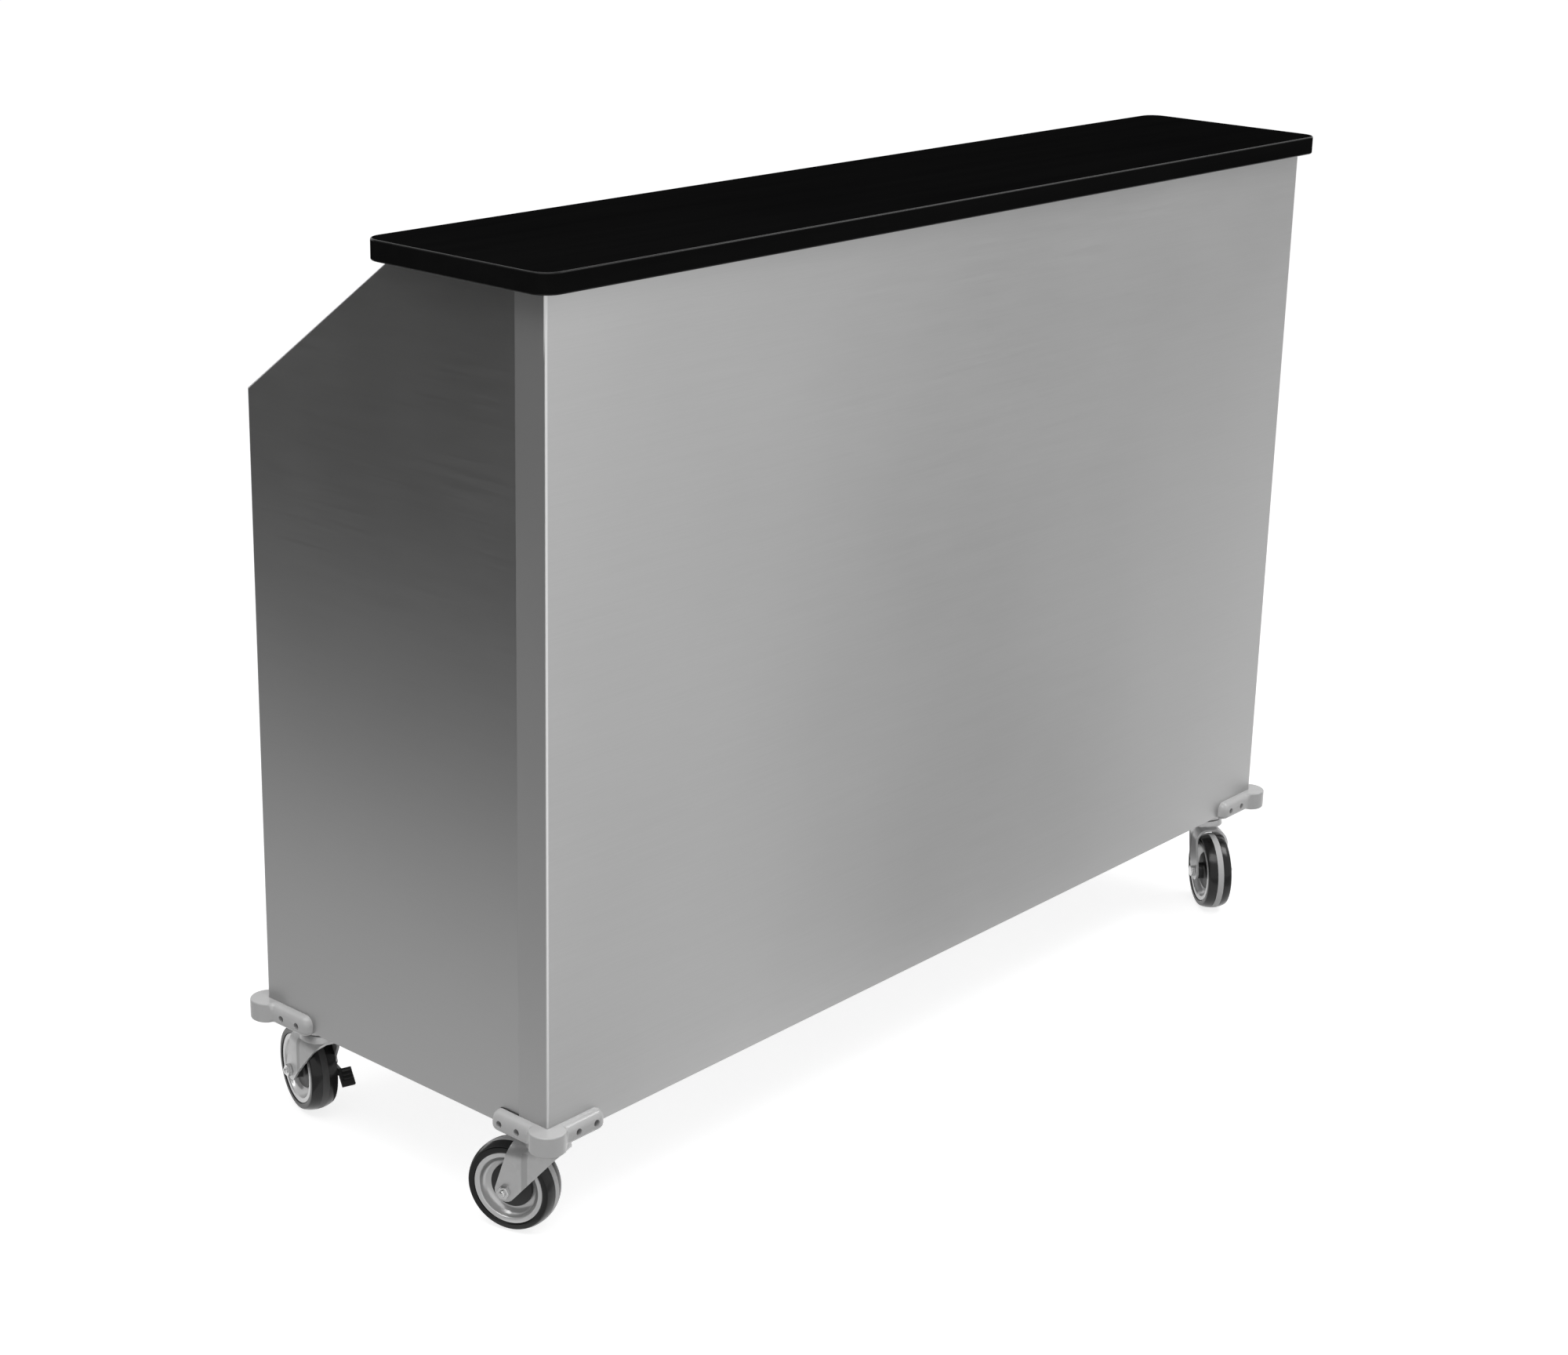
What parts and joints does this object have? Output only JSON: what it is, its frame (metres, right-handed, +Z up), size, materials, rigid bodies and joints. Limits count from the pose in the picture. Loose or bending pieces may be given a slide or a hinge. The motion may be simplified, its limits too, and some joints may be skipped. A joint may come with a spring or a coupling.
{
  "type": "mobile bar unit",
  "caption": "Stainless mobile bar on swivel casters: wrapped front, sloped end panels, dark overhanging counter, ice bin, bottle wells and speed rail behind.",
  "frame": {"origin": "on the floor, under the middle of the cabinet", "axes": "+X along the bar, customer's side faces -Y, +Z up"},
  "size_m": [1.38, 0.5322, 1.047],
  "materials": {
    "stainless": "brushed stainless sheet",
    "inner_steel": "brushed stainless sheet",
    "counter_laminate": "black laminate on board",
    "foam": "foamed insulation",
    "bright_steel": "bright steel",
    "valve_brass": "plain brass",
    "lever_vinyl": "red vinyl sleeve",
    "zinc": "zinc plate",
    "black_plastic": "moulded black",
    "grey_plastic": "moulded grey",
    "bumper_plastic": "moulded grey",
    "black_tyre": "black elastomer"
  },
  "bodies": {
    "cabinet": {"front_panel": "stainless", "left_end_panel": "stainless", "right_end_panel": "stainless", "counter_top": "counter_laminate", "counter_front_rail": "inner_steel", "counter_rear_rail": "inner_steel", "counter_screws": "bright_steel", "left_base_channel": "inner_steel", "right_base_channel": "inner_steel", "front_base_rail": "inner_steel", "rear_base_rail": "inner_steel", "base_shelf": "inner_steel", "left_divider": "inner_steel", "right_divider": "inner_steel", "left_shelf": "inner_steel", "right_shelf": "inner_steel", "work_deck": "stainless", "ice_bin_liner": "stainless", "ice_bin_insulation": "foam", "ice_bin_jacket": "inner_steel", "lid_hinge_leaf": "inner_steel", "lid_hinge_pin": "bright_steel", "drain_tailpiece": "bright_steel", "drain_valve": "valve_brass", "left_bottle_well": "stainless", "right_bottle_well": "stainless", "speed_rail": "stainless", "caster_top_plates": "zinc", "caster_plate_bolts": "bright_steel", "front_left_bumper": "bumper_plastic", "front_right_bumper": "bumper_plastic", "rear_left_bumper": "bumper_plastic", "rear_right_bumper": "bumper_plastic", "bumper_screws": "bright_steel"},
    "bin_lid": {"ice_bin_lid": "stainless", "lid_handle": "bright_steel"},
    "valve_handle": {"drain_ball": "bright_steel", "drain_lever": "lever_vinyl"},
    "front_left_swivel": {"front_left_fork": "zinc", "front_left_axle": "bright_steel"},
    "front_left_wheel": {"front_left_hub": "black_plastic", "front_left_rim": "grey_plastic", "front_left_tyre": "black_tyre"},
    "front_right_swivel": {"front_right_fork": "zinc", "front_right_axle": "bright_steel"},
    "front_right_wheel": {"front_right_hub": "black_plastic", "front_right_rim": "grey_plastic", "front_right_tyre": "black_tyre"},
    "rear_left_swivel": {"rear_left_fork": "zinc", "rear_left_axle": "bright_steel"},
    "rear_left_wheel": {"rear_left_hub": "black_plastic", "rear_left_rim": "grey_plastic", "rear_left_tyre": "black_tyre"},
    "rear_left_brake": {"rear_left_pedal": "black_plastic"},
    "rear_right_swivel": {"rear_right_fork": "zinc", "rear_right_axle": "bright_steel"},
    "rear_right_wheel": {"rear_right_hub": "black_plastic", "rear_right_rim": "grey_plastic", "rear_right_tyre": "black_tyre"},
    "rear_right_brake": {"rear_right_pedal": "black_plastic"}
  },
  "joints": [
    {"name": "front_left_swivel_turn", "type": "hinge", "parent": "cabinet", "child": "front_left_swivel", "pos_m": [-0.628, -0.183, 0.12], "axis": [0, 0, 1], "continuous": true},
    {"name": "front_left_wheel_spin", "type": "hinge", "parent": "front_left_swivel", "child": "front_left_wheel", "pos_m": [-0.64036, -0.14496, 0.051], "axis": [0.9511, 0.309, 0], "continuous": true},
    {"name": "front_right_swivel_turn", "type": "hinge", "parent": "cabinet", "child": "front_right_swivel", "pos_m": [0.628, -0.183, 0.12], "axis": [0, 0, 1], "continuous": true},
    {"name": "front_right_wheel_spin", "type": "hinge", "parent": "front_right_swivel", "child": "front_right_wheel", "pos_m": [0.60229, -0.21364, 0.051], "axis": [-0.766, 0.6428, 0], "continuous": true},
    {"name": "rear_left_swivel_turn", "type": "hinge", "parent": "cabinet", "child": "rear_left_swivel", "pos_m": [-0.628, 0.183, 0.12], "axis": [0, 0, 1], "continuous": true},
    {"name": "rear_left_wheel_spin", "type": "hinge", "parent": "rear_left_swivel", "child": "rear_left_wheel", "pos_m": [-0.6163, 0.22125, 0.051], "axis": [0.9563, -0.2924, 0], "continuous": true},
    {"name": "rear_left_brake_press", "type": "hinge", "parent": "rear_left_swivel", "child": "rear_left_brake", "pos_m": [-0.6163, 0.22125, 0.051], "axis": [0.9563, -0.2924, 0], "range_deg": [0, 25]},
    {"name": "rear_right_swivel_turn", "type": "hinge", "parent": "cabinet", "child": "rear_right_swivel", "pos_m": [0.628, 0.183, 0.12], "axis": [0, 0, 1], "continuous": true},
    {"name": "rear_right_wheel_spin", "type": "hinge", "parent": "rear_right_swivel", "child": "rear_right_wheel", "pos_m": [0.64168, 0.22059, 0.051], "axis": [0.9397, -0.342, 0], "continuous": true},
    {"name": "rear_right_brake_press", "type": "hinge", "parent": "rear_right_swivel", "child": "rear_right_brake", "pos_m": [0.64168, 0.22059, 0.051], "axis": [0.9397, -0.342, 0], "range_deg": [0, 25]},
    {"name": "lid_lift", "type": "hinge", "parent": "cabinet", "child": "bin_lid", "pos_m": [0, -0.0848, 0.8046], "axis": [1, 0, 0], "range_deg": [0, 95]},
    {"name": "drain_lever_turn", "type": "hinge", "parent": "cabinet", "child": "valve_handle", "pos_m": [0, 0.0127, 0.455], "axis": [0, 1, 0], "range_deg": [0, 90]}
  ]
}
